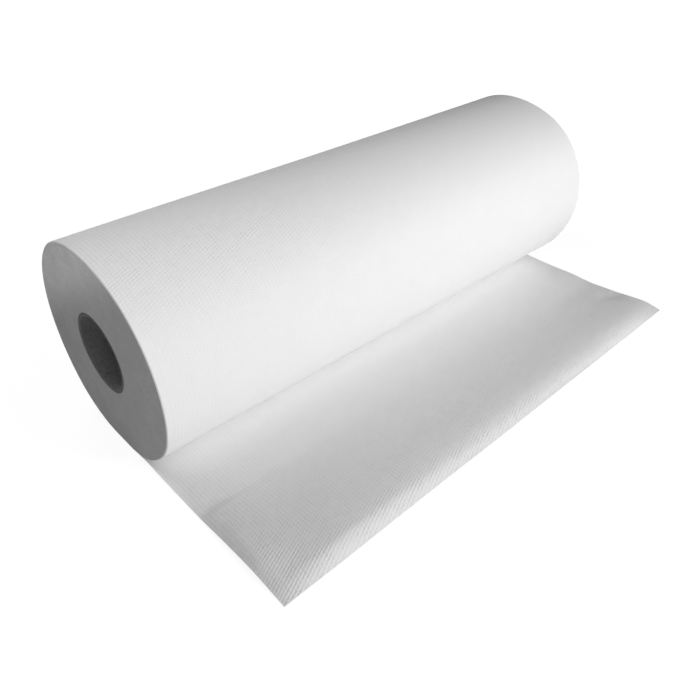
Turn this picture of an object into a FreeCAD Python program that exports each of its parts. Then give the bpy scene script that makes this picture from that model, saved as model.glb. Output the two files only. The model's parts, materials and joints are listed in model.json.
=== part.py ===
import FreeCAD, Part
import math
import os
import Sketcher

# Exam table paper roll: a soft two-ply tissue web wound on a spiral board core.
# X runs along the roll, the loose tail lies towards -Y, and the table is the plane z = 0.
# The origin is on the table, under the roll's axis, at the middle of its width.
# The web comes over the back of the roll, passes under it and runs out in front,
# so the roll stands on its own last turn.

# name, value in millimetres (degrees for cutSkew), meaning
SIZES = [
    ("webWidth", 500.0, "width of the web, and sawn length of the core"),
    ("rollDiameter", 179.0, "diameter of the wound web where it is still round"),
    ("settle", 5.8, "depth that the soft roll has sunk onto its flat spot"),
    ("flatWidth", 18.0, "width of the flat spot"),
    ("sheet", 0.3, "thickness of the embossed sheet"),
    ("tailLength", 209.5, "from under the axis to the cut edge, at the middle of the web"),
    ("cutSkew", 0.7, "angle of the cut edge to the roll's axis"),
    ("trimAllowance", 10.0, "web drawn past the cut edge before it is cut off"),
    ("coreBore", 60.0, "inside diameter of the core"),
    ("coreWall", 3.0, "wall of the core"),
    ("mouthChamfer", 0.5, "broken edge at each mouth of the core"),
    ("windGap", 0.05, "gap between the core and the first turn"),
]
SIZE = {name: value for name, value, meaning in SIZES}

# Expressions that the sketches share, in terms of the sheet's cells.
ROUND_RADIUS = "sizes.rollDiameter / 2"
ROUND_HEIGHT = "sizes.rollDiameter / 2 - sizes.settle"
CORE_HEIGHT = "(sizes.rollDiameter - sizes.settle) / 2"
CORE_RADIUS = "sizes.coreBore / 2 + sizes.coreWall"

UP = FreeCAD.Vector(0, 0, 1)
START, END, CENTRE = 1, 2, 3  # the sketcher's numbers for the points of an edge
ORIGIN = (-1, 1)  # the sketch's own origin
AXIS_ACROSS, AXIS_UP = -1, -2  # the sketch's own axes
TRIM_TOLERANCE = 0.01  # share by which the trimmed volume may differ from its sum


def makeSizeSheet(doc):
    """Spreadsheet with one driving dimension in each row."""
    sheet = doc.addObject("Spreadsheet::Sheet", "sizes")
    for row, (name, value, meaning) in enumerate(SIZES, start=1):
        sheet.set(f"A{row}", meaning)
        sheet.set(f"B{row}", str(value))
        sheet.setAlias(f"B{row}", name)
    doc.recompute()


def makeBody(doc, label):
    body = doc.addObject("PartDesign::Body", label)
    body.Label = label
    return body


def makeSketch(body, name, role):
    """Empty sketch on one of the body's own origin planes."""
    sketch = body.newObject("Sketcher::SketchObject", name)
    plane = next(item for item in body.Origin.OriginFeatures if item.Role == role)
    sketch.AttachmentSupport = [(plane, "")]
    sketch.MapMode = "FlatFace"
    return sketch


def bind(sketch, name, expression, kind, *where):
    """Named dimension that follows an expression. The last item of where is its first value."""
    index = sketch.addConstraint(Sketcher.Constraint(kind, *where))
    sketch.renameConstraint(index, name)
    sketch.setExpression(f"Constraints.{name}", expression)


def relate(sketch, kind, *where):
    sketch.addConstraint(Sketcher.Constraint(kind, *where))


def addPadAlongRoll(body, name, sketch):
    """Extrude a section of the roll over the whole width of the web."""
    pad = body.newObject("PartDesign::Pad", name)
    pad.Profile = sketch
    pad.SideType = "Symmetric"
    pad.setExpression("Length", "sizes.webWidth")
    return pad


def shoulderRadius():
    """Radius that runs from the flat spot into the round without a corner, on each side."""
    radius = SIZE["rollDiameter"] / 2
    half = SIZE["flatWidth"] / 2
    return radius - SIZE["settle"] / 2 - half**2 / (2 * SIZE["settle"])


def drawWoundSection(sketch):
    """Closed outline of the wound web and its tail, looking along the roll with up as up.

    Table side, back shoulder, round, front shoulder down to the nip, top of the tail, cut end.
    The front shoulder would touch the table as the back one does, but it stops where it meets
    the tail, one sheet higher, which leaves the narrow nip that a real roll has there.
    """
    radius = SIZE["rollDiameter"] / 2
    height = radius - SIZE["settle"]
    half = SIZE["flatWidth"] / 2
    sheet = SIZE["sheet"]
    shoulder = shoulderRadius()
    drawnEnd = -SIZE["tailLength"] - SIZE["trimAllowance"]
    join = math.atan2(shoulder - height, half)
    nip = math.asin((shoulder - sheet) / shoulder)
    nipEnd = -half - shoulder * math.cos(nip)

    def line(y0, z0, y1, z1):
        return sketch.addGeometry(
            Part.LineSegment(FreeCAD.Vector(y0, z0, 0), FreeCAD.Vector(y1, z1, 0)))

    def arc(y, z, r, first, last):
        return sketch.addGeometry(
            Part.ArcOfCircle(Part.Circle(FreeCAD.Vector(y, z, 0), UP, r), first, last))

    under = line(drawnEnd, 0, half, 0)
    back = arc(half, shoulder, shoulder, -math.pi / 2, join)
    rim = arc(0, height, radius, join, math.pi - join)
    front = arc(-half, shoulder, shoulder, math.pi - join, math.pi + nip)
    top = line(nipEnd, sheet, drawnEnd, sheet)
    end = line(drawnEnd, sheet, drawnEnd, 0)

    relate(sketch, "Tangent", under, END, back, START)
    relate(sketch, "Tangent", back, END, rim, START)
    relate(sketch, "Tangent", rim, END, front, START)
    relate(sketch, "Coincident", front, END, top, START)
    relate(sketch, "Coincident", top, END, end, START)
    relate(sketch, "Coincident", end, END, under, START)
    relate(sketch, "Horizontal", top)
    relate(sketch, "Vertical", end)
    relate(sketch, "PointOnObject", under, END, AXIS_ACROSS)
    relate(sketch, "PointOnObject", under, START, AXIS_ACROSS)
    relate(sketch, "PointOnObject", rim, CENTRE, AXIS_UP)
    relate(sketch, "Symmetric", back, CENTRE, front, CENTRE, AXIS_UP)
    bind(sketch, "roundRadius", ROUND_RADIUS, "Radius", rim, radius)
    bind(sketch, "roundHeight", ROUND_HEIGHT, "DistanceY", *ORIGIN, rim, CENTRE, height)
    bind(sketch, "halfFlat", "sizes.flatWidth / 2", "DistanceX", *ORIGIN, under, END, half)
    bind(sketch, "sheetEnd", "sizes.sheet", "DistanceY", end, END, end, START, sheet)
    bind(sketch, "drawnTail", "sizes.tailLength + sizes.trimAllowance",
         "DistanceX", under, START, *ORIGIN, -drawnEnd)


def drawCoreHole(sketch):
    """The round hole that the core fills."""
    height = (SIZE["rollDiameter"] - SIZE["settle"]) / 2
    radius = SIZE["coreBore"] / 2 + SIZE["coreWall"] + SIZE["windGap"]
    centre = FreeCAD.Vector(0, height, 0)
    hole = sketch.addGeometry(Part.Circle(centre, UP, radius))
    relate(sketch, "PointOnObject", hole, CENTRE, AXIS_UP)
    bind(sketch, "holeHeight", CORE_HEIGHT, "DistanceY", *ORIGIN, hole, CENTRE, height)
    bind(sketch, "holeRadius", CORE_RADIUS + " + sizes.windGap", "Radius", hole, radius)


def drawTrim(sketch):
    """What lies past the cut edge, seen from above. X is along the roll and Y across it."""
    side = SIZE["webWidth"] / 2 + SIZE["trimAllowance"]
    tail = SIZE["tailLength"]
    lean = side * math.tan(math.radians(SIZE["cutSkew"]))
    pastEnd = tail + 2 * SIZE["trimAllowance"]
    corners = [(-side, -tail - lean), (side, -tail + lean), (side, -pastEnd), (-side, -pastEnd)]
    points = [FreeCAD.Vector(x, y, 0) for x, y in corners]
    edges = []
    for first, last in zip(points, points[1:] + points[:1]):
        edges.append(sketch.addGeometry(Part.LineSegment(first, last)))
    for edge, following in zip(edges, edges[1:] + edges[:1]):
        relate(sketch, "Coincident", edge, END, following, START)
    cut, right, outer, left = edges
    middle = sketch.addGeometry(Part.Point(FreeCAD.Vector(0, -tail, 0)), True)
    relate(sketch, "Vertical", right)
    relate(sketch, "Vertical", left)
    relate(sketch, "Horizontal", outer)
    relate(sketch, "PointOnObject", middle, START, AXIS_UP)
    relate(sketch, "PointOnObject", middle, START, cut)
    bind(sketch, "cutAtMiddle", "sizes.tailLength", "DistanceY", middle, START, *ORIGIN, tail)
    bind(sketch, "cutAngle", "sizes.cutSkew", "Angle", cut, math.radians(SIZE["cutSkew"]))
    bind(sketch, "rightSide", "sizes.webWidth / 2 + sizes.trimAllowance",
         "DistanceX", *ORIGIN, right, START, side)
    bind(sketch, "leftSide", "sizes.webWidth / 2 + sizes.trimAllowance",
         "DistanceX", left, END, *ORIGIN, side)
    bind(sketch, "pastDrawnEnd", "sizes.tailLength + 2 * sizes.trimAllowance",
         "DistanceY", outer, START, *ORIGIN, pastEnd)


def makePaperRoll(doc):
    """All the turns of the web and its loose tail: one continuous sheet, so one solid."""
    body = makeBody(doc, "paper_roll")
    section = makeSketch(body, "WoundSection", "YZ_Plane")
    drawWoundSection(section)
    drawCoreHole(section)
    addPadAlongRoll(body, "WoundWeb", section)
    doc.recompute()
    uncut = body.Shape.Volume
    trim = makeSketch(body, "TrimOutline", "XY_Plane")
    drawTrim(trim)
    cut = body.newObject("PartDesign::Pocket", "CutEdge")
    cut.Profile = trim
    cut.Type = "ThroughAll"
    cut.Reversed = True
    doc.recompute()
    trimmed = SIZE["trimAllowance"] * SIZE["webWidth"] * SIZE["sheet"]
    if abs(uncut - body.Shape.Volume - trimmed) > TRIM_TOLERANCE * trimmed:
        raise RuntimeError("the cut edge did not trim the tail as it should")
    return body


def makeCoreTube(doc):
    """Board tube that the web is wound on, sawn flush with the web at both ends."""
    body = makeBody(doc, "core_tube")
    body.setExpression("Placement.Base.z", CORE_HEIGHT)
    ring = makeSketch(body, "CoreRing", "YZ_Plane")
    radii = [("boreRadius", "sizes.coreBore / 2", SIZE["coreBore"] / 2),
             ("outerRadius", CORE_RADIUS, SIZE["coreBore"] / 2 + SIZE["coreWall"])]
    for name, expression, radius in radii:
        circle = ring.addGeometry(Part.Circle(FreeCAD.Vector(0, 0, 0), UP, radius))
        relate(ring, "Coincident", circle, CENTRE, *ORIGIN)
        bind(ring, name, expression, "Radius", circle, radius)
    wall = addPadAlongRoll(body, "CoreWall", ring)
    doc.recompute()
    breakMouths(body, wall)
    doc.recompute()
    return body


def breakMouths(body, wall):
    """Small chamfer round the bore at both sawn ends."""
    bore = SIZE["coreBore"] / 2
    mouths = []
    for number, edge in enumerate(wall.Shape.Edges, start=1):
        curve = edge.Curve
        if isinstance(curve, Part.Circle) and abs(curve.Radius - bore) < SIZE["windGap"]:
            mouths.append(f"Edge{number}")
    chamfer = body.newObject("PartDesign::Chamfer", "BrokenMouths")
    chamfer.Base = (wall, mouths)
    chamfer.setExpression("Size", "sizes.mouthChamfer")


def checkDocument(doc, bodies):
    """Stop before anything is written if any object failed or any sub-part isn't a sound solid."""
    for item in doc.Objects:
        if "Invalid" in item.State or "Error" in item.State:
            raise RuntimeError(f"{item.Name} failed: {item.State}")
    for sketch in doc.findObjects("Sketcher::SketchObject"):
        if sketch.solve() != 0:
            raise RuntimeError(f"{sketch.Name} can't be solved")
    for body in bodies:
        shape = body.Shape
        if shape.isNull() or not shape.isValid() or len(shape.Solids) != 1:
            raise RuntimeError(f"{body.Label} isn't one valid solid")


def main():
    doc = FreeCAD.newDocument("ExamTablePaperRoll")
    makeSizeSheet(doc)
    bodies = [makePaperRoll(doc), makeCoreTube(doc)]
    doc.recompute()
    checkDocument(doc, bodies)
    os.makedirs("parts", exist_ok=True)
    for body in bodies:
        body.Shape.exportStep(f"parts/{body.Label}.step")
        box = body.Shape.BoundBox
        print(f"{body.Label}: {body.Shape.Volume / 1000:.1f} cm3,"
              f" {box.XLength:.1f} x {box.YLength:.1f} x {box.ZLength:.1f} mm")


main()
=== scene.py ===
import bpy
import json
import math
import numpy as np
from mathutils import Matrix, Vector, noise


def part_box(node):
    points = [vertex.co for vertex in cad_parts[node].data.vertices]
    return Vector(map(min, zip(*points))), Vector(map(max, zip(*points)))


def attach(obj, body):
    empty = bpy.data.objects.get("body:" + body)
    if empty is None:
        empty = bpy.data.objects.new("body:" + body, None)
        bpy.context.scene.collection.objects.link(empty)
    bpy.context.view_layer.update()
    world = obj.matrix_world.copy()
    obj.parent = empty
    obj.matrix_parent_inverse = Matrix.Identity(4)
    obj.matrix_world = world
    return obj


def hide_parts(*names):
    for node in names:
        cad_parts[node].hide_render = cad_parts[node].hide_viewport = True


# Exam table paper roll: embossed tissue on a board core, with its loose tail lying in front.
# X runs along the roll, the tail lies towards -Y, the table is z = 0. Metres throughout.
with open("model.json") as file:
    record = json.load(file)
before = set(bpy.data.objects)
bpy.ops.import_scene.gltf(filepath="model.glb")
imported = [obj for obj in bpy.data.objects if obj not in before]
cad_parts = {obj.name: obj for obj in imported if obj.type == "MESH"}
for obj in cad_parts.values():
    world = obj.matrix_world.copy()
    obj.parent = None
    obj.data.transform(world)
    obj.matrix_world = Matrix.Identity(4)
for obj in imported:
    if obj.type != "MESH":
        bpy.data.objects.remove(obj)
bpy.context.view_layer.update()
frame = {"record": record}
paperLow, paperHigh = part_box("paper_roll")
coreLow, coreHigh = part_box("core_tube")

halfWidth = paperHigh.x
rollRadius = paperHigh.y
rollHeight = paperHigh.z
centreHeight = rollHeight - rollRadius     # of the round that the roll was before it settled
settle = 2 * rollRadius - rollHeight       # how far it has settled on its flat spot
coreOuter = (coreHigh.y - coreLow.y) / 2
axisHeight = (coreHigh.z + coreLow.z) / 2
bore = next(mount for mount in frame["record"]["mounts"] if mount["name"] == "core_bore")
boreRadius = bore["dims"]["r_mm"] / 1000
print("frame: roll", round(2 * rollRadius, 4), "by", round(rollHeight, 4), "web", round(2 * halfWidth, 3))


# small helpers
def smoothStep(low, high, value):
    t = np.clip((value - low) / (high - low), 0, 1)
    return t * t * (3 - 2 * t)


def bell(value, middle, width):
    return np.exp(-((value - middle) / width) ** 2 / 2)


def cloud(points, size, seed):
    # soft noise from -1 to 1 at each point, with features about as large as size
    return np.array([noise.noise(Vector(p) / size + Vector((seed, -seed, seed / 2))) for p in points])


def cloudLayers(points, layers, start=0.0):
    # several soft noises added up; each layer is (size, seed, share)
    total = start
    for size, seed, share in layers:
        total = total + share * cloud(points, size, seed)
    return total


def ringPoints(x, radius, angles, height):
    # a ring round a line along X; the angles run from the front, up over the top
    return np.stack([np.full_like(angles, x), -radius * np.cos(angles), height + radius * np.sin(angles)], 1)


def webPlaces(x, along):
    # where points lie on the unrolled web: across it, along it
    return np.stack([x + 0 * along, along, 0 * along], 1)


def makePiece(name, verts, faces, materials, faceMaterials, sharpAngle):
    mesh = bpy.data.meshes.new(name)
    mesh.from_pydata([tuple(v) for v in verts], [], faces)
    for material in materials:
        mesh.materials.append(material)
    mesh.polygons.foreach_set("material_index", faceMaterials)
    mesh.polygons.foreach_set("use_smooth", [True] * len(faces))
    mesh.set_sharp_from_angle(angle=math.radians(sharpAngle))
    mesh.validate()
    mesh.update()
    piece = bpy.data.objects.new(name, mesh)
    bpy.context.scene.collection.objects.link(piece)
    return piece


def storeNumbers(piece, name, values):
    kind = "FLOAT" if values.ndim == 1 else "FLOAT_VECTOR"
    field = "value" if values.ndim == 1 else "vector"
    attribute = piece.data.attributes.new(name, kind, "POINT")
    attribute.data.foreach_set(field, values.astype(np.float32).ravel())


# node helpers
def addNode(tree, kind, **settings):
    node = tree.nodes.new(kind)
    for key, value in settings.items():
        setattr(node, key, value)
    return node


def feed(tree, socket, value):
    # a number or colour goes on the socket, anything else is linked to it
    if hasattr(value, "links"):
        tree.links.new(value, socket)
    else:
        socket.default_value = value


def mathNode(tree, operation, a, b=0.0):
    node = addNode(tree, "ShaderNodeMath", operation=operation)
    feed(tree, node.inputs[0], a)
    feed(tree, node.inputs[1], b)
    return node.outputs[0]


def rangeNode(tree, value, low, high, toLow, toHigh, curve="SMOOTHSTEP"):
    node = addNode(tree, "ShaderNodeMapRange", interpolation_type=curve)
    for socket, item in zip(node.inputs, (value, low, high, toLow, toHigh)):
        feed(tree, socket, item)
    return node.outputs["Result"]


def noiseNode(tree, place, scale, detail, rough=0.5):
    node = addNode(tree, "ShaderNodeTexNoise")
    feed(tree, node.inputs["Vector"], place)
    feed(tree, node.inputs["Scale"], scale)
    feed(tree, node.inputs["Detail"], detail)
    feed(tree, node.inputs["Roughness"], rough)
    return node.outputs["Fac"]


def attributeNode(tree, name, output="Fac"):
    return addNode(tree, "ShaderNodeAttribute", attribute_name=name).outputs[output]


def tinted(tree, colour, factor):
    # colour times a grey factor
    node = addNode(tree, "ShaderNodeVectorMath", operation="SCALE")
    feed(tree, node.inputs[0], colour)
    feed(tree, node.inputs["Scale"], factor)
    return node.outputs[0]


def bumpNode(tree, height, distance, below=None, inward=False):
    node = addNode(tree, "ShaderNodeBump", invert=inward)
    feed(tree, node.inputs["Height"], height)
    feed(tree, node.inputs["Distance"], distance)
    feed(tree, node.inputs["Strength"], 1.0)
    if below:
        feed(tree, node.inputs["Normal"], below)
    return node.outputs["Normal"]


def newGroup(name, inputs, outputs):
    group = bpy.data.node_groups.new(name, "ShaderNodeTree")
    for title, kind, start in inputs:
        socket = group.interface.new_socket(title, in_out="INPUT", socket_type=kind)
        if start is not None:
            socket.default_value = start
    for title, kind in outputs:
        group.interface.new_socket(title, in_out="OUTPUT", socket_type=kind)
    return group, group.nodes.new("NodeGroupInput").outputs, group.nodes.new("NodeGroupOutput").inputs


def placeGroup(tree, group, **values):
    # an input named Fibre Size takes its value from fibreSize
    node = addNode(tree, "ShaderNodeGroup", node_tree=group)
    for socket in node.inputs:
        key = socket.name[0].lower() + socket.name[1:].replace(" ", "")
        if key in values:
            feed(tree, socket, values[key])
    return node.outputs


def newMaterial(name):
    material = bpy.data.materials.new(name)
    material.use_nodes = True
    return material, material.node_tree, material.node_tree.nodes["Principled BSDF"]


# shared effects
fibreValues = {
    "strandScale": 0.22,      # the strands' own pattern against the fibres'
    "strandWidth": 0.035,
}


def makeFibreGrain(values):
    # short felted fibres: a fine even grain with longer strands through it
    group, given, out = newGroup(
        "fibreGrain",
        [("Place", "NodeSocketVector", None), ("Fibre Size", "NodeSocketFloat", 0.0006),
         ("Strand Amount", "NodeSocketFloat", 0.4)],
        [("Height", "NodeSocketFloat")])
    scale = mathNode(group, "DIVIDE", 1.0, given["Fibre Size"])
    grain = noiseNode(group, given["Place"], scale, 3.0, 0.6)
    coarse = mathNode(group, "MULTIPLY", scale, values["strandScale"])
    wander = noiseNode(group, given["Place"], coarse, 2.0)
    offMiddle = mathNode(group, "ABSOLUTE", mathNode(group, "SUBTRACT", wander, 0.5))
    strands = rangeNode(group, offMiddle, 0.0, values["strandWidth"], 1.0, 0.0)
    raised = mathNode(group, "MULTIPLY", strands, given["Strand Amount"])
    feed(group, out["Height"], mathNode(group, "ADD", grain, raised))
    return group


def makeCloudyTone():
    # uneven formation: a factor about 1 that drifts over the surface
    group, given, out = newGroup(
        "cloudyTone",
        [("Place", "NodeSocketVector", None), ("Patch Size", "NodeSocketFloat", 0.02),
         ("Amount", "NodeSocketFloat", 0.03)],
        [("Factor", "NodeSocketFloat")])
    scale = mathNode(group, "DIVIDE", 1.0, given["Patch Size"])
    patches = noiseNode(group, given["Place"], scale, 4.0, 0.55)
    swing = mathNode(group, "MULTIPLY", mathNode(group, "SUBTRACT", patches, 0.5), given["Amount"])
    feed(group, out["Factor"], mathNode(group, "ADD", swing, 1.0))
    return group


# tissue of the web
tissueFinish = {
    "colour": (0.91, 0.91, 0.91),
    "roughness": (0.88, 0.96),     # between the fibres and on them
    "roughFrom": (0.2, 1.0),
    "specular": 0.2,
    "sheen": 0.06,
    "sheenRoughness": 0.6,
    "columnPitch": 0.0062,         # from a column of embossed dents to the next but one, along the roll
    "rowPitch": 0.00248,           # between the dents of one column, along the web
    "leaningWave": 0.57,           # the dents are drawn out along this wave
    "crossingWave": 0.30,
    "columnWave": 0.29,
    "dentFrom": (-0.45, 0.9),      # the waves' sum at the rim and at the bottom of a dent
    "embossDepth": 0.00027,        # on the loose tail
    "woundEmboss": 0.27,           # share of it left where the web is wound tight
    "embossShade": 0.006,
    "pressSize": 0.007,            # the rollers pressed some patches deeper than others
    "pressFrom": (0.35, 0.65),
    "pressed": (0.5, 1.35),
    "fibreSize": 0.0005,
    "fibreDepth": 0.00003,
    "strands": 0.35,
    "fleckFrom": (0.3, 0.9),
    "fleck": (0.985, 1.012),       # tone between the fibres and on them
    "patchSize": 0.022,
    "patchAmount": 0.03,
    "singleSheet": 0.95,           # a lone sheet lets light through, so it is less white than the roll
}


def makeTissue(values, fibreGrain, cloudyTone):
    material, tree, shader = newMaterial("embossedTissue")
    web = attributeNode(tree, "webPlace", "Vector")
    tight = attributeNode(tree, "heldTight")
    split = addNode(tree, "ShaderNodeSeparateXYZ")
    feed(tree, split.inputs[0], web)
    # staggered dents drawn out along one diagonal: two crossed waves and the columns between them
    along = mathNode(tree, "MULTIPLY", split.outputs["X"], math.tau / values["columnPitch"])
    across = mathNode(tree, "MULTIPLY", split.outputs["Y"], math.tau / values["rowPitch"])
    waves = [(mathNode(tree, "SUBTRACT", along, across), values["leaningWave"]),
             (mathNode(tree, "ADD", along, across), values["crossingWave"]),
             (mathNode(tree, "MULTIPLY", along, 2.0), values["columnWave"])]
    depth = 0.0
    for phase, share in waves:
        wave = mathNode(tree, "MULTIPLY", mathNode(tree, "COSINE", phase), share)
        depth = mathNode(tree, "ADD", depth, wave)
    dents = rangeNode(tree, depth, *values["dentFrom"], 0.0, 1.0)
    patches = noiseNode(tree, web, 1.0 / values["pressSize"], 2.0)
    pressed = rangeNode(tree, patches, *values["pressFrom"], *values["pressed"])
    fibres = placeGroup(tree, fibreGrain, place=web, fibreSize=values["fibreSize"],
                        strandAmount=values["strands"])
    formation = placeGroup(tree, cloudyTone, place=web, patchSize=values["patchSize"],
                           amount=values["patchAmount"])

    shade = rangeNode(tree, dents, 0.0, 1.0, 1.0 - values["embossShade"], 1.0, "LINEAR")
    fleck = rangeNode(tree, fibres["Height"], *values["fleckFrom"], *values["fleck"], "LINEAR")
    white = rangeNode(tree, tight, 0.0, 1.0, values["singleSheet"], 1.0, "LINEAR")
    tone = mathNode(tree, "MULTIPLY", mathNode(tree, "MULTIPLY", formation["Factor"], shade), fleck)
    tone = mathNode(tree, "MULTIPLY", tone, white)
    rough = rangeNode(tree, fibres["Height"], *values["roughFrom"], *values["roughness"], "LINEAR")
    feed(tree, shader.inputs["Base Color"], tinted(tree, values["colour"], tone))
    feed(tree, shader.inputs["Roughness"], rough)
    shader.inputs["Specular IOR Level"].default_value = values["specular"]
    shader.inputs["Sheen Weight"].default_value = values["sheen"]
    shader.inputs["Sheen Roughness"].default_value = values["sheenRoughness"]

    flattened = rangeNode(tree, tight, 0.0, 1.0, 1.0, values["woundEmboss"], "LINEAR")
    dented = mathNode(tree, "MULTIPLY", mathNode(tree, "MULTIPLY", dents, flattened), pressed)
    fine = bumpNode(tree, fibres["Height"], values["fibreDepth"])
    feed(tree, shader.inputs["Normal"], bumpNode(tree, dented, values["embossDepth"], fine, inward=True))
    return material


# stacked edges of the turns
turnsFinish = {
    # grey of the turn edges: partly their own tone, partly painted shade for an end that lies in shadow
    "colour": (0.54, 0.54, 0.54),
    "roughness": (0.90, 1.0),          # of the sunk turns and the proud ones
    "specular": 0.15,
    "turnPitch": 0.00045,
    "turnDepth": 0.00010,
    "turnFrom": (0.1, 0.7),
    "turnTone": (0.93, 1.05),
    "breakScale": 55.0,                # the lines fade out in patches, about this many to a metre
    "breakFrom": (0.35, 0.7),
    "breakLeft": 0.25,                 # share of a line that is left in such a patch
    "fibreSize": 0.0013,
    "fibreDepth": 0.00008,
    "strands": 0.2,
    "fleckFrom": (0.3, 0.9),
    "fleck": (0.87, 1.10),
    "patchSize": 0.03,
    "patchAmount": 0.10,
    "looseToward": (0.0, 0.5, 0.87),   # painted light: the upper back of both ends, out by the outer turns, is made paler, as if lit there
    # over this span the painted light comes in
    "looseFrom": (0.100, 0.147),
    "looseTone": 1.70,
}


def makeTurns(values, fibreGrain, cloudyTone):
    material, tree, shader = newMaterial("turnEdges")
    place = addNode(tree, "ShaderNodeTexCoord").outputs["Object"]
    # each turn is a ring at its own depth, some standing a little prouder than others
    rings = addNode(tree, "ShaderNodeTexNoise", noise_dimensions="1D")
    feed(tree, rings.inputs["W"], attributeNode(tree, "turnDepth"))
    feed(tree, rings.inputs["Scale"], 1.0 / values["turnPitch"])
    feed(tree, rings.inputs["Detail"], 2.0)
    breaks = noiseNode(tree, place, values["breakScale"], 3.0, 0.6)
    left = rangeNode(tree, breaks, *values["breakFrom"], values["breakLeft"], 1.0)
    lines = mathNode(tree, "MULTIPLY", rings.outputs["Fac"], left)
    fibres = placeGroup(tree, fibreGrain, place=place, fibreSize=values["fibreSize"],
                        strandAmount=values["strands"])
    formation = placeGroup(tree, cloudyTone, place=place, patchSize=values["patchSize"],
                           amount=values["patchAmount"])
    toward = addNode(tree, "ShaderNodeVectorMath", operation="DOT_PRODUCT")
    feed(tree, toward.inputs[0], place)
    feed(tree, toward.inputs[1], values["looseToward"])

    ringTone = rangeNode(tree, lines, *values["turnFrom"], *values["turnTone"], "LINEAR")
    fleck = rangeNode(tree, fibres["Height"], *values["fleckFrom"], *values["fleck"], "LINEAR")
    # painted light: the ends turn paler towards their upper back
    paintedLight = rangeNode(tree, toward.outputs["Value"], *values["looseFrom"], 1.0, values["looseTone"])
    tone = mathNode(tree, "MULTIPLY", mathNode(tree, "MULTIPLY", formation["Factor"], ringTone), fleck)
    tone = mathNode(tree, "MULTIPLY", tone, paintedLight)
    feed(tree, shader.inputs["Base Color"], tinted(tree, values["colour"], tone))
    feed(tree, shader.inputs["Roughness"], rangeNode(tree, lines, 0.0, 1.0, *values["roughness"], "LINEAR"))
    shader.inputs["Specular IOR Level"].default_value = values["specular"]
    fine = bumpNode(tree, fibres["Height"], values["fibreDepth"])
    feed(tree, shader.inputs["Normal"], bumpNode(tree, lines, values["turnDepth"], fine))
    return material


# grey board of the core
boardFinish = {
    "colour": (0.218, 0.218, 0.218),
    "sawnTone": 0.62,              # the sawn ends are darker than the wall of the bore
    "roughness": (0.82, 0.94),     # between the fibres and on them
    "specular": 0.25,
    "fibreSize": 0.0011,
    "fibreDepth": 0.00012,
    "strands": 0.8,
    "fibreFrom": (0.3, 1.2),
    "fleck": (0.82, 1.12),
    "patchSize": 0.012,
    "patchAmount": 0.35,
    "speckScale": 520.0,
    "speckFrom": (0.60, 0.70),
    "speckTone": 0.72,             # dark specks in the pulp
    "seamFrom": (0.2, 1.0),
    "seamTone": 0.6,
}


def makeBoard(values, fibreGrain, cloudyTone):
    material, tree, shader = newMaterial("greyBoard")
    place = addNode(tree, "ShaderNodeTexCoord").outputs["Object"]
    fibres = placeGroup(tree, fibreGrain, place=place, fibreSize=values["fibreSize"],
                        strandAmount=values["strands"])
    formation = placeGroup(tree, cloudyTone, place=place, patchSize=values["patchSize"],
                           amount=values["patchAmount"])
    pulp = noiseNode(tree, place, values["speckScale"], 1.0)
    specks = rangeNode(tree, pulp, *values["speckFrom"], 1.0, values["speckTone"])
    fleck = rangeNode(tree, fibres["Height"], *values["fibreFrom"], *values["fleck"], "LINEAR")
    seam = rangeNode(tree, attributeNode(tree, "seamNearness"), *values["seamFrom"], 1.0, values["seamTone"])
    sawn = rangeNode(tree, attributeNode(tree, "sawnEnd"), 0.0, 1.0, 1.0, values["sawnTone"], "LINEAR")
    tone = mathNode(tree, "MULTIPLY", mathNode(tree, "MULTIPLY", formation["Factor"], fleck), specks)
    tone = mathNode(tree, "MULTIPLY", mathNode(tree, "MULTIPLY", tone, seam), sawn)
    rough = rangeNode(tree, fibres["Height"], *values["fibreFrom"], *values["roughness"], "LINEAR")
    feed(tree, shader.inputs["Base Color"], tinted(tree, values["colour"], tone))
    feed(tree, shader.inputs["Roughness"], rough)
    shader.inputs["Specular IOR Level"].default_value = values["specular"]
    feed(tree, shader.inputs["Normal"], bumpNode(tree, fibres["Height"], values["fibreDepth"]))
    return material


fibreGrain = makeFibreGrain(fibreValues)
cloudyTone = makeCloudyTone()
tissue = makeTissue(tissueFinish, fibreGrain, cloudyTone)
turnEdges = makeTurns(turnsFinish, fibreGrain, cloudyTone)
greyBoard = makeBoard(boardFinish, fibreGrain, cloudyTone)
print("materials made")


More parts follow.
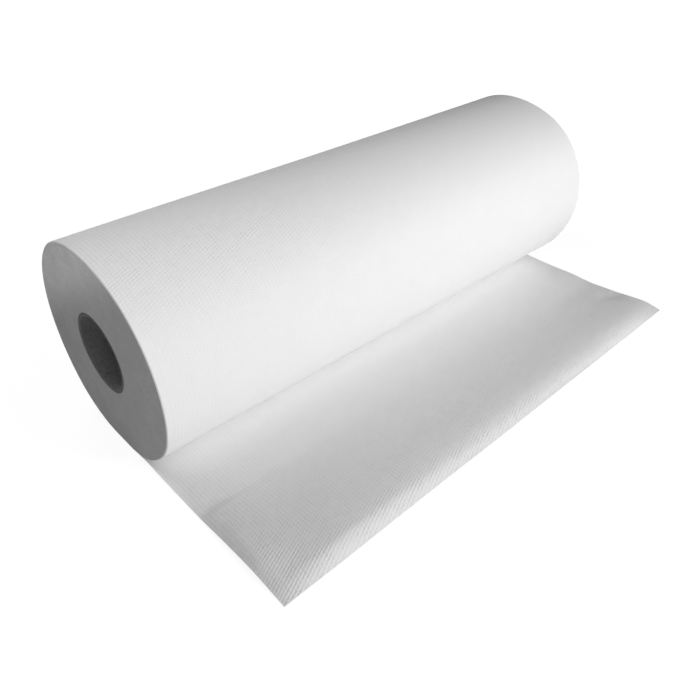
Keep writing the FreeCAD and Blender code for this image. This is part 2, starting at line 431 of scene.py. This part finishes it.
# wound web and its loose tail
webValues = {
    "sheet": 0.0003,
    "flatHalf": 0.009,         # half the flat spot that the roll stands on
    "cutSkew": 0.6,            # degrees between the cut edge and the roll
    "cutTrim": 0.0013,         # the curled cut edge lies this far short of the flat one
    "windGap": 0.00005,        # between the core and the first turn
    "around": 264,             # steps round the roll
    "tailRows": 96,
    "ringCount": 42,           # steps from the core to the outermost turn on each end
    "holeSteps": 8,
    "edgeRound": 0.0007,
    "edgeColumn": 0.0012,      # the columns of faces are this narrow at both edges
    "columnGrowth": 1.06,
    "widestColumn": 0.0062,
    "sharpAngle": 32,
    "lobes": [(3, 12, 0.0125), (5, 42, 0.0056), (4, 57, 0.0048), (2, 60, 0.0032)],  # waves, degrees, share
    "lobeFade": (-0.93, -0.55),   # sines of the angles over which the foot's true form gives way to lobes
    "footFade": (-0.95, -0.6),    # and to sags and swells
    "sideSwell": 0.00012,      # slow unevenness of the outermost turn
    "swellLayers": [(0.09, 3.7, 1.0), (0.035, 9.1, 0.5)],   # size, seed, share
    "sags": [                  # place along the roll and reach, angle and reach in degrees, how far in
        (0.25, 0.15, 84, 30, 0.0020),
        (0.00, 0.12, 128, 30, 0.0011),
        (0.25, 0.09, -24, 10, 0.0009),
        (0.25, 0.06, -45, 8, -0.0007),
        (0.25, 0.10, 8, 18, -0.0003),
    ],
    "endSwell": 0.0007,        # how far turns lie back from the widest ones
    "endLayers": [(0.30, 2.3, 0.5), (0.11, 7.7, 0.35)],
    "endDrift": 2.2,           # how fast this changes from the outermost turn to the core
    "endFine": 4,              # and round the roll
    "slack": 0.64,             # the outer turns are looser on top near the -X end
    "slackAngle": 88,
    "slackReach": 30,
    "slackAlong": (-0.16, 0.14),
}

tailValues = {
    # section lines of the sheet from front to back: share of the half width, then (ahead, height)
    "sections": [
        (-1.00, [(0.016, 0.0), (0.037, 0.0022), (0.060, 0.0016), (0.090, 0.0011), (0.112, 0.0009),
                 (0.128, 0.0018), (0.148, 0.0031), (0.174, 0.0036), (0.194, 0.0020), (0.2112, 0.0002)]),
        (-0.76, [(0.016, 0.0), (0.037, 0.0046), (0.060, 0.0021), (0.075, 0.0010), (0.090, 0.0004),
                 (0.110, 0.0001), (0.122, 0.0017), (0.150, 0.0056), (0.185, 0.0084), (0.199, 0.0088),
                 (0.2055, 0.0060), (0.2108, 0.0)]),
        (0.00, [(0.016, 0.0), (0.037, 0.0049), (0.060, 0.0022), (0.075, 0.0011), (0.090, 0.0004),
                (0.108, 0.0), (0.150, 0.0030), (0.192, 0.0064), (0.202, 0.0044), (0.2086, 0.0)]),
        (0.76, [(0.016, 0.0), (0.037, 0.0047), (0.060, 0.0021), (0.075, 0.0010), (0.090, 0.0004),
                (0.106, 0.0001), (0.126, 0.0008), (0.150, 0.0034), (0.190, 0.0067), (0.201, 0.0042),
                (0.2066, 0.0)]),
        (1.00, [(0.016, 0.0), (0.037, 0.0006), (0.060, 0.0001), (0.084, 0.0002), (0.102, 0.0008),
                (0.126, 0.0), (0.148, 0.0014), (0.168, 0.0032), (0.186, 0.0038), (0.2061, 0.0006)]),
    ],
    "nipClearance": 0.00005,       # air between the sheet and the roll above it
    "nipEase": 0.03,               # length of sheet over which the air and the swell come in
    "underRoll": 0.08,             # the roll lies above the sheet up to this distance in front
    "looseFrom": (0.04, 0.17),     # between these distances it stops feeling the roll and lies loose
    # how far the -X edge turns down, by distance in front
    "nearRoll": [(0.030, 0.0), (0.055, 0.0005), (0.110, 0.0006), (0.1130, 0.0007), (0.1170, 0.0021),
                 (0.150, 0.0031), (0.190, 0.0014), (0.212, 0.0003)],
    "nearRollIn": 0.010,           # its shoulder is fully up at this distance from the edge,
    "nearRollFade": (0.010, 0.058),    # and sinks into the sheet between these
    "farDraw": 0.0038,             # the +X edge lies this much in from the roll's end
    "farDrawFrom": 0.6,            # share of the half width where that starts
    "farDrawBy": 0.036,            # it is all there at this distance in front,
    "farDrawFade": (0.16, 0.202),  # and gone again by the cut edge
    "creases": [                   # ends (x, distance in front), half width, height
        ((0.202, 0.112), (0.207, 0.142), 0.0014, 0.00055),
        ((0.219, 0.118), (0.215, 0.150), 0.0022, -0.00055),
        ((0.209, 0.125), (0.210, 0.150), 0.0016, 0.00035),
        ((0.226, 0.151), (0.247, 0.166), 0.0050, -0.00160),
        ((-0.2500, 0.1115), (-0.236, 0.1118), 0.0012, 0.00030),
    ],
    "swell": 0.00018,
    "swellLayers": [(0.07, 5.3, 1.0), (0.022, 1.9, 0.4)],
}

# radius of the roll's outline on each side of the flat spot
shoulderRadius = rollRadius - settle / 2 - webValues["flatHalf"] ** 2 / (2 * settle)


def smoothThrough(places, heights, at):
    # smooth curve through the given points that never overshoots them
    places, heights = np.array(places, float), np.array(heights, float)
    step = np.diff(places)
    slope = np.diff(heights) / step
    bend = np.zeros(len(places))
    same = slope[:-1] * slope[1:] > 0
    before, after = np.where(same, slope[:-1], 1), np.where(same, slope[1:], 1)
    first, second = 2 * step[1:] + step[:-1], step[1:] + 2 * step[:-1]
    bend[1:-1][same] = ((first + second) / (first / before + second / after))[same]
    bend[0], bend[-1] = slope[0], slope[-1]
    at = np.clip(at, places[0], places[-1])
    i = np.clip(np.searchsorted(places, at, side="right") - 1, 0, len(step) - 1)
    t = (at - places[i]) / step[i]
    return (heights[i] * (1 + 2 * t) * (1 - t) ** 2 + bend[i] * step[i] * t * (1 - t) ** 2
            + heights[i + 1] * t * t * (3 - 2 * t) - bend[i + 1] * step[i] * t * t * (1 - t))


def columnPlaces(half, firstStep, growth, widest, edge):
    # positions along the roll, close together near both edges
    places = [0.0, edge]
    step = firstStep
    while places[-1] < half:
        places.append(places[-1] + step)
        step = min(step * growth, widest)
    inner = np.array(places[:-1])
    inner = inner[inner < half - widest / 2]
    return np.concatenate([inner - half, [0.0], half - inner[::-1]])


def eggRadius(phi):
    # outline of the settled roll from the round's centre; phi runs from the front, up over the top
    flat = webValues["flatHalf"]
    ahead, up = -np.cos(phi), np.sin(phi)
    centreY = np.where(ahead < 0, -flat, flat)
    dot = ahead * centreY + up * (shoulderRadius - centreHeight)
    offset = flat ** 2 + (shoulderRadius - centreHeight) ** 2
    shoulderReach = dot + np.sqrt(dot ** 2 - offset + shoulderRadius ** 2)
    joinSlope = (shoulderRadius - centreHeight) / flat
    onRound = up > joinSlope * np.abs(ahead)
    radius = np.where(onRound, rollRadius, shoulderReach)
    low = up < -0.5                # only the lowest third can reach the table
    floorReach = np.where(low, -centreHeight / np.minimum(up, -0.5), 1.0)
    onFlat = low & (np.abs(ahead * floorReach) < flat)
    return np.where(onFlat, floorReach, radius)


def lobeFactor(phi):
    total = np.zeros_like(phi)
    for count, turn, share in webValues["lobes"]:
        total += share * np.cos(count * (phi - math.radians(turn)))
    return 1 + total * smoothStep(*webValues["lobeFade"], np.sin(phi))


def shoulderHeight(ahead):
    # underside of the roll above the table, in front of the nip
    reach = shoulderRadius ** 2 - (ahead - webValues["flatHalf"]) ** 2
    return shoulderRadius - np.sqrt(np.maximum(reach, 0))


def creaseHeight(x, ahead, start, end, width, height):
    # a straight crease that sinks into the sheet at both ends
    line = np.array(end) - np.array(start)
    length = np.hypot(*line)
    unit = line / length
    dx, dy = x - start[0], ahead - start[1]
    along = dx * unit[0] + dy * unit[1]
    off = dx * unit[1] - dy * unit[0]
    starts = smoothStep(-0.15 * length, 0.2 * length, along)
    stops = smoothStep(0.8 * length, 1.15 * length, along)
    return height * (starts * (1 - stops)) * bell(off, 0, width)


def tailLift(x, ahead):
    # height of the sheet above the table, ahead is the distance in front of the axis
    v = tailValues
    shares = [share for share, points in v["sections"]]
    lines = [smoothThrough(*zip(*points), ahead) for share, points in v["sections"]]
    at = np.array([x / halfWidth])
    lift = np.array([smoothThrough(shares, heights, at)[0] for heights in np.array(lines).T])
    # the -X edge turns down to the table from a soft shoulder
    inside = x + halfWidth
    rise = np.clip(inside / v["nearRollIn"], 0, 1)
    shoulder = (1 - (1 - rise) ** 2) * (1 - smoothStep(*v["nearRollFade"], inside))
    lift = lift + smoothThrough(*zip(*v["nearRoll"]), ahead) * shoulder
    for crease in v["creases"]:
        lift = lift + creaseHeight(x, ahead, *crease)
    return lift


def wrapRoll(xs, phi, nipAhead):
    # the outermost turn, one ring for each x, from the nip in front, over the top and back underneath
    v = webValues
    radius = eggRadius(phi) * lobeFactor(phi)
    fade = smoothStep(*v["footFade"], np.sin(phi))
    rings = []
    for i, x in enumerate(xs):
        points = ringPoints(x, radius, phi, centreHeight)
        swell = v["sideSwell"] * cloudLayers(points, v["swellLayers"])
        inset = v["edgeRound"] if i in (0, len(xs) - 1) else 0.0
        sag = sum(deep * bell(x, at, reach) * bell(np.degrees(phi), turn, spread)
                  for at, reach, turn, spread, deep in v["sags"])
        points = ringPoints(x, radius + fade * (swell - v["sideSwell"] - inset - sag), phi, centreHeight)
        points[0, 1:] = (-nipAhead, v["sheet"])
        points[-1, 1:] = (-nipAhead, 0.0)
        rings.append(points)
    return rings


def layTail(xs, nipAhead):
    # the loose sheet, one row for each x, from the nip to the cut edge: its upper and its lower side
    v = tailValues
    sheet, rows = webValues["sheet"], webValues["tailRows"]
    skew = math.tan(math.radians(webValues["cutSkew"]))
    cutNear = -paperLow.y - webValues["cutTrim"]
    share = np.arange(1, rows + 1) / rows
    upper, lower = [], []
    for x in xs:
        cutAt = cutNear - (x + halfWidth) * skew
        ahead = nipAhead + (cutAt - nipAhead) * share
        flat = np.stack([np.full_like(ahead, x), -ahead, 0 * ahead], 1)
        ease = smoothStep(nipAhead, nipAhead + v["nipEase"], ahead)
        swell = v["swell"] * cloudLayers(flat, v["swellLayers"], 1) * ease
        room = shoulderHeight(ahead) - sheet - v["nipClearance"] * ease
        room = np.where(ahead < v["underRoll"], np.maximum(room, 0), 1.0)
        lift = np.maximum(np.minimum(tailLift(x, ahead) + swell, room), 0)
        drawn = v["farDraw"] * smoothStep(v["farDrawFrom"] * halfWidth, halfWidth, x)
        drawn = drawn * smoothStep(nipAhead, v["farDrawBy"], ahead)
        drawn = drawn * (1 - smoothStep(*v["farDrawFade"], ahead))
        upper.append(np.stack([x - drawn, -ahead, sheet + lift], 1))
        lower.append(np.stack([x - drawn, -ahead, lift], 1))
    return upper, lower


def turnsBack(points, side, m):
    # how far ring m of an end lies back from the widest turns; level at the rim, and nearly so by the core
    v = webValues
    rings, fine = v["ringCount"], v["endFine"]
    drift = np.full(len(points), side * 3 + m / rings * v["endDrift"])
    place = np.stack([drift, points[:, 1] * fine, points[:, 2] * fine], 1)
    back = np.maximum(cloudLayers(place, v["endLayers"], 0.5), 0)
    return back * v["endSwell"] * min(1.0, m / 2) * min(1.0, (rings - m) / 2 + 0.15)


def insideRings(rims, hole, span):
    # rings of both ends, from the outermost turn in to the core, then those through the hole between
    # them, with how deep in the roll each one lies
    count, steps = webValues["ringCount"], webValues["holeSteps"]
    rings, depths = [], []
    for side, rim in zip((-1, 1), rims):
        for m in range(1, count + 1):
            t = m / count
            points = rim * (1 - t) + hole * t
            points[:, 0] = side * (halfWidth - turnsBack(points, side, m))
            rings.append(points)
            depths.append(t * span)
    nearMouth, farMouth = rings[count - 1], rings[2 * count - 1]
    for h in range(1, steps):
        t = h / steps
        rings.append(nearMouth * (1 - t) + farMouth * t)
        depths.append(span)
    return rings, depths


def holdTight(phi, columns, roll, tail):
    # how tightly the web is held at each point: 1 where it is wound tight, 0 where it lies loose
    v = webValues
    slack = bell(np.degrees(np.tile(phi, columns)), v["slackAngle"], v["slackReach"])
    onRoll = 1 - v["slack"] * slack * (1 - smoothStep(*v["slackAlong"], roll[:, 0]))
    return np.concatenate([onRoll, 1 - smoothStep(*tailValues["looseFrom"], -tail[:, 1])])


def sheetFaces(columns, ringAt, upperAt, lowerAt):
    # round the roll, along both sides of the tail and down its cut edge, with the material of each
    around, last = webValues["around"], webValues["tailRows"]
    for i in range(columns - 1):
        for j in range(around):
            yield (ringAt(i + 1, j), ringAt(i + 1, j + 1), ringAt(i, j + 1), ringAt(i, j)), 0
        for k in range(last):
            yield (upperAt(i + 1, k + 1), upperAt(i + 1, k), upperAt(i, k), upperAt(i, k + 1)), 0
            yield (lowerAt(i + 1, k), lowerAt(i + 1, k + 1), lowerAt(i, k + 1), lowerAt(i, k)), 0
        yield (lowerAt(i + 1, last), upperAt(i + 1, last), upperAt(i, last), lowerAt(i, last)), 1


def endFaces(i, starts, ringAt, upperAt, lowerAt):
    # one end of the roll and the tail's edge there, running round as seen from the +X end
    around = webValues["around"]
    outer = starts[0]
    for j in range(around):
        nextJ = (j + 1) % around
        yield ringAt(i, j), outer + j, outer + nextJ, ringAt(i, j + 1)
        for a, b in zip(starts, starts[1:]):
            yield a + j, b + j, b + nextJ, a + nextJ
    yield ringAt(i, around), outer, ringAt(i, 0)
    for k in range(webValues["tailRows"]):
        yield upperAt(i, k), upperAt(i, k + 1), lowerAt(i, k + 1), lowerAt(i, k)


def holeFaces(starts):
    # the wall of the hole, facing its middle
    around = webValues["around"]
    for a, b in zip(starts, starts[1:]):
        for j in range(around):
            nextJ = (j + 1) % around
            yield a + nextJ, b + nextJ, b + j, a + j


def makeWeb():
    v = webValues
    around, tailRows, count = v["around"], v["tailRows"], v["ringCount"]
    xs = columnPlaces(halfWidth, v["edgeColumn"], v["columnGrowth"], v["widestColumn"], v["edgeRound"])
    columns = len(xs)
    nipAhead = v["flatHalf"] + math.sqrt(shoulderRadius ** 2 - (shoulderRadius - v["sheet"]) ** 2)
    startPhi = math.atan2(v["sheet"] - centreHeight, nipAhead)
    endPhi = math.atan2(-centreHeight, nipAhead) + math.tau
    phi = np.linspace(startPhi, endPhi, around + 1)
    along = rollRadius * (phi - startPhi)
    wound = wrapRoll(xs, phi, nipAhead)
    upper, lower = layTail(xs, nipAhead)
    roll, tail = np.concatenate(wound), np.concatenate(upper + lower)
    upperStart = len(roll)
    lowerStart = upperStart + columns * tailRows
    insideStart = len(roll) + len(tail)

    holeRadius = coreOuter + v["windGap"]
    hole = ringPoints(0, holeRadius, phi[:around], axisHeight)
    rims = wound[0][:around], wound[-1][:around]
    inside, depths = insideRings(rims, hole, rollRadius - holeRadius)
    verts = np.concatenate([roll, tail] + inside)

    # what the materials read at each point
    web = [webPlaces(x, along) for x in xs]
    web += [webPlaces(x, nipAhead + points[:, 1]) for x, points in zip(xs, upper)]
    web += [webPlaces(x, along[-1] - points[:, 1] - nipAhead) for x, points in zip(xs, lower)]
    web += [webPlaces(points[:, 0], along[:around]) for points in inside]
    depth = np.concatenate([np.zeros(insideStart)] + [np.full(around, deep) for deep in depths])
    tight = np.concatenate([holdTight(phi, columns, roll, tail), np.ones(len(verts) - insideStart)])

    def ringAt(i, j):
        return i * (around + 1) + j

    def upperAt(i, k):
        return ringAt(i, 0) if k == 0 else upperStart + i * tailRows + k - 1

    def lowerAt(i, k):
        return ringAt(i, around) if k == 0 else lowerStart + i * tailRows + k - 1

    starts = [insideStart + around * n for n in range(len(inside))]
    nearEnd, farEnd, between = starts[:count], starts[count:2 * count], starts[2 * count:]
    faces, kinds = zip(*sheetFaces(columns, ringAt, upperAt, lowerAt))
    # the web's cut sides, where its turns show: both ends, the -X one turned to face out, and the hole
    cut = [corners[::-1] for corners in endFaces(0, nearEnd, ringAt, upperAt, lowerAt)]
    cut += endFaces(columns - 1, farEnd, ringAt, upperAt, lowerAt)
    cut += holeFaces(nearEnd[-1:] + between + farEnd[-1:])
    faces, kinds = list(faces) + cut, list(kinds) + [1] * len(cut)

    piece = makePiece("paperWeb", verts, faces, [tissue, turnEdges], kinds, v["sharpAngle"])
    storeNumbers(piece, "webPlace", np.concatenate(web))
    storeNumbers(piece, "turnDepth", depth)
    storeNumbers(piece, "heldTight", tight)
    return piece


paperWeb = makeWeb()
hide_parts("paper_roll")
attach(paperWeb, "root")
print("web made:", len(paperWeb.data.vertices), "vertices")


# board core
coreValues = {
    "around": 144,
    "along": 220,
    "outsideSteps": 24,
    "wallSteps": 7,           # rings of points across the sawn ends
    "mouthBreak": 0.0005,
    "mouthFade": 0.004,       # the wall's swell starts over this length
    "outerBreak": 0.0002,
    "seamPitch": 0.118,       # travel of the spiral seam in one turn
    "seamWidth": 0.0016,
    "seamDepth": 0.00028,
    "plySwell": 0.00010,
    "plyLayers": [(0.02, 4.1, 0.5)],    # size, seed, share
    "sawnSize": 0.0011,       # torn fibres on the sawn ends
    "sawnSeed": 6.2,
    "sawnDepth": 0.00018,
    "sharpAngle": 35,
}


def coreProfile():
    # the wall's section, as (x, radius, where): bore, sawn end, outside, other sawn end
    v = coreValues
    half, lip = coreHigh.x, v["mouthBreak"]
    wall = coreOuter - v["outerBreak"] - boreRadius - lip
    end = [boreRadius + lip + wall * t for t in np.linspace(0, 1, v["wallSteps"])]
    profile = [(x, boreRadius, "bore") for x in np.linspace(-half + lip, half - lip, v["along"])]
    profile += [(half, r, "end") for r in end]
    outside = np.linspace(half - v["outerBreak"], -half + v["outerBreak"], v["outsideSteps"])
    profile += [(x, coreOuter, "outside") for x in outside]
    return profile + [(-half, r, "end") for r in reversed(end)]


def makeCore():
    v = coreValues
    half, around = coreHigh.x, v["around"]
    theta = np.linspace(0, math.tau, around, endpoint=False)
    profile = coreProfile()
    verts, seam, sawn = [], [], []
    for x, r, where in profile:
        turn = x / v["seamPitch"] - theta / math.tau
        near = bell(np.abs(turn - np.round(turn)) * v["seamPitch"], 0, v["seamWidth"])
        ring = ringPoints(x, r, theta, 0)
        if where == "bore":
            swell = v["plySwell"] * cloudLayers(ring, v["plyLayers"], 0.5)
            swell = swell * smoothStep(0, v["mouthFade"], half - abs(x))
            ring = ringPoints(x, r + near * v["seamDepth"] + swell, theta, 0)
        elif where == "end":
            proud = np.abs(cloud(ring, v["sawnSize"], v["sawnSeed"])) * v["sawnDepth"]
            ring[:, 0] = math.copysign(1, x) * (half - proud)
        ring[:, 2] += axisHeight
        verts.append(ring)
        seam.append(near if where == "bore" else 0 * near)
        sawn.append(np.full_like(near, float(where == "end")))
    faces = []
    for n in range(len(profile)):
        a, b = n * around, (n + 1) % len(profile) * around
        for j in range(around):
            nextJ = (j + 1) % around
            faces.append((a + j, a + nextJ, b + nextJ, b + j))
    kinds = [0] * len(faces)
    piece = makePiece("boardCore", np.concatenate(verts), faces, [greyBoard], kinds, v["sharpAngle"])
    storeNumbers(piece, "seamNearness", np.concatenate(seam))
    storeNumbers(piece, "sawnEnd", np.concatenate(sawn))
    return piece


boardCore = makeCore()
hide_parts("core_tube")
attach(boardCore, "root")
print("core made:", len(boardCore.data.vertices), "vertices")


# table, light and camera
studioValues = {
    "floorSize": 14.0,
    "floorDrop": 0.00005,      # so that nothing lies in the floor's own plane
    "floorColour": (0.55, 0.55, 0.55),
    "shadowShare": 0.5,        # how much of the real shadow the white floor keeps
    "floorGlow": (0.88, 1.02),     # by the object and further out
    "plainFrom": (0.25, 0.75),     # the floor turns plain white between these distances
    "ambient": 0.048,
}

# where each lamp stands, what it points at, its power in watts and its width
lampValues = {
    "keyLamp": {"at": (1.05, -1.96, 0.46), "toward": (0.0, -0.03, 0.07), "power": 28.3, "size": 0.8},
    "fillLamp": {"at": (0.08, -0.56, 0.60), "toward": (0.0, -0.03, 0.07), "power": 1.63, "size": 0.4},
    "backLamp": {"at": (-0.22, 0.50, 0.60), "toward": (0.0, -0.03, 0.07), "power": 1.60, "size": 0.4},
    "topLamp": {"at": (-0.34, -0.02, 0.45), "toward": (-0.25, 0.0, 0.09), "power": 0.19, "size": 0.15},
    "sideLamp": {"at": (-0.90, -0.50, 0.10), "toward": (-0.25, 0.0, 0.09), "power": 1.45, "size": 0.3},
}

cameraValues = {
    "reach": (-4.446, -4.807, 4.497),   # from the middle of the foot, in radii of the roll
    "azimuth": -43.06,
    "elevation": 36.88,
    "tilt": 0.22,
    "lens": 36.08,
    "sensor": 36,
}


def seenRays(tree):
    # 1 for what the camera sees, straight or through gloss or glass, and 0 for light on the object
    path = addNode(tree, "ShaderNodeLightPath").outputs
    sent = mathNode(tree, "MAXIMUM", path["Is Glossy Ray"], path["Is Transmission Ray"])
    return mathNode(tree, "MAXIMUM", path["Is Camera Ray"], sent)


def makeFloor(values):
    half = values["floorSize"] / 2
    mesh = bpy.data.meshes.new("studioFloor")
    corners = [(-half, -half, 0), (half, -half, 0), (half, half, 0), (-half, half, 0)]
    mesh.from_pydata(corners, [], [(0, 1, 2, 3)])
    floor = bpy.data.objects.new("studioFloor", mesh)
    floor.location.z = -values["floorDrop"]
    bpy.context.scene.collection.objects.link(floor)
    material = bpy.data.materials.new("paleFloor")
    material.use_nodes = True
    tree = material.node_tree
    tree.nodes.clear()
    out = addNode(tree, "ShaderNodeOutputMaterial")
    pale = addNode(tree, "ShaderNodeBsdfDiffuse")
    pale.inputs["Color"].default_value = (*values["floorColour"], 1)
    glow = addNode(tree, "ShaderNodeEmission")
    away = addNode(tree, "ShaderNodeVectorMath", operation="LENGTH")
    feed(tree, away.inputs[0], addNode(tree, "ShaderNodeTexCoord").outputs["Object"])
    bright = rangeNode(tree, away.outputs["Value"], *values["plainFrom"], *values["floorGlow"])
    feed(tree, glow.inputs["Strength"], mathNode(tree, "DIVIDE", bright, 1 - values["shadowShare"]))
    mix = addNode(tree, "ShaderNodeMixShader")
    feed(tree, mix.inputs["Fac"], mathNode(tree, "MULTIPLY", seenRays(tree), 1 - values["shadowShare"]))
    tree.links.new(pale.outputs[0], mix.inputs[1])
    tree.links.new(glow.outputs[0], mix.inputs[2])
    tree.links.new(mix.outputs[0], out.inputs["Surface"])
    mesh.materials.append(material)


def makeWorld(values):
    world = bpy.data.worlds.new("softStudio")
    world.use_nodes = True
    tree = world.node_tree
    tree.nodes.clear()
    out = addNode(tree, "ShaderNodeOutputWorld")
    background = addNode(tree, "ShaderNodeBackground")
    background.inputs["Color"].default_value = (1, 1, 1, 1)
    strength = rangeNode(tree, seenRays(tree), 0.0, 1.0, values["ambient"], 1.0, "LINEAR")
    feed(tree, background.inputs["Strength"], strength)
    tree.links.new(background.outputs[0], out.inputs["Surface"])
    bpy.context.scene.world = world


def makeLamps(values):
    for name, settings in values.items():
        light = bpy.data.lights.new(name, "AREA")
        light.shape = "DISK"
        light.energy = settings["power"]
        light.size = settings["size"]
        lamp = bpy.data.objects.new(name, light)
        lamp.visible_camera = False
        lamp.location = settings["at"]
        lamp.rotation_mode = "QUATERNION"
        back = Vector(settings["at"]) - Vector(settings["toward"])
        lamp.rotation_quaternion = back.normalized().to_track_quat("Z", "Y")
        bpy.context.scene.collection.objects.link(lamp)


def makeCamera(values):
    azimuth, elevation, tilt = (math.radians(values[key]) for key in ("azimuth", "elevation", "tilt"))
    level = math.cos(elevation)
    back = Vector((math.sin(azimuth) * level, -math.cos(azimuth) * level, math.sin(elevation)))
    right = Vector((math.cos(azimuth), math.sin(azimuth), 0))
    up = back.cross(right)
    across = right * math.cos(tilt) + up * math.sin(tilt)
    over = up * math.cos(tilt) - right * math.sin(tilt)
    lens = bpy.data.cameras.new("camera")
    lens.lens = values["lens"]
    lens.sensor_width = values["sensor"]
    camera = bpy.data.objects.new("camera", lens)
    place = Vector(values["reach"]) * rollRadius
    camera.matrix_world = Matrix.Translation(place) @ Matrix((across, over, back)).transposed().to_4x4()
    bpy.context.scene.collection.objects.link(camera)
    bpy.context.scene.camera = camera


makeFloor(studioValues)
makeWorld(studioValues)
makeLamps(lampValues)
makeCamera(cameraValues)
bpy.context.scene.view_settings.view_transform = "Standard"
print("studio made")
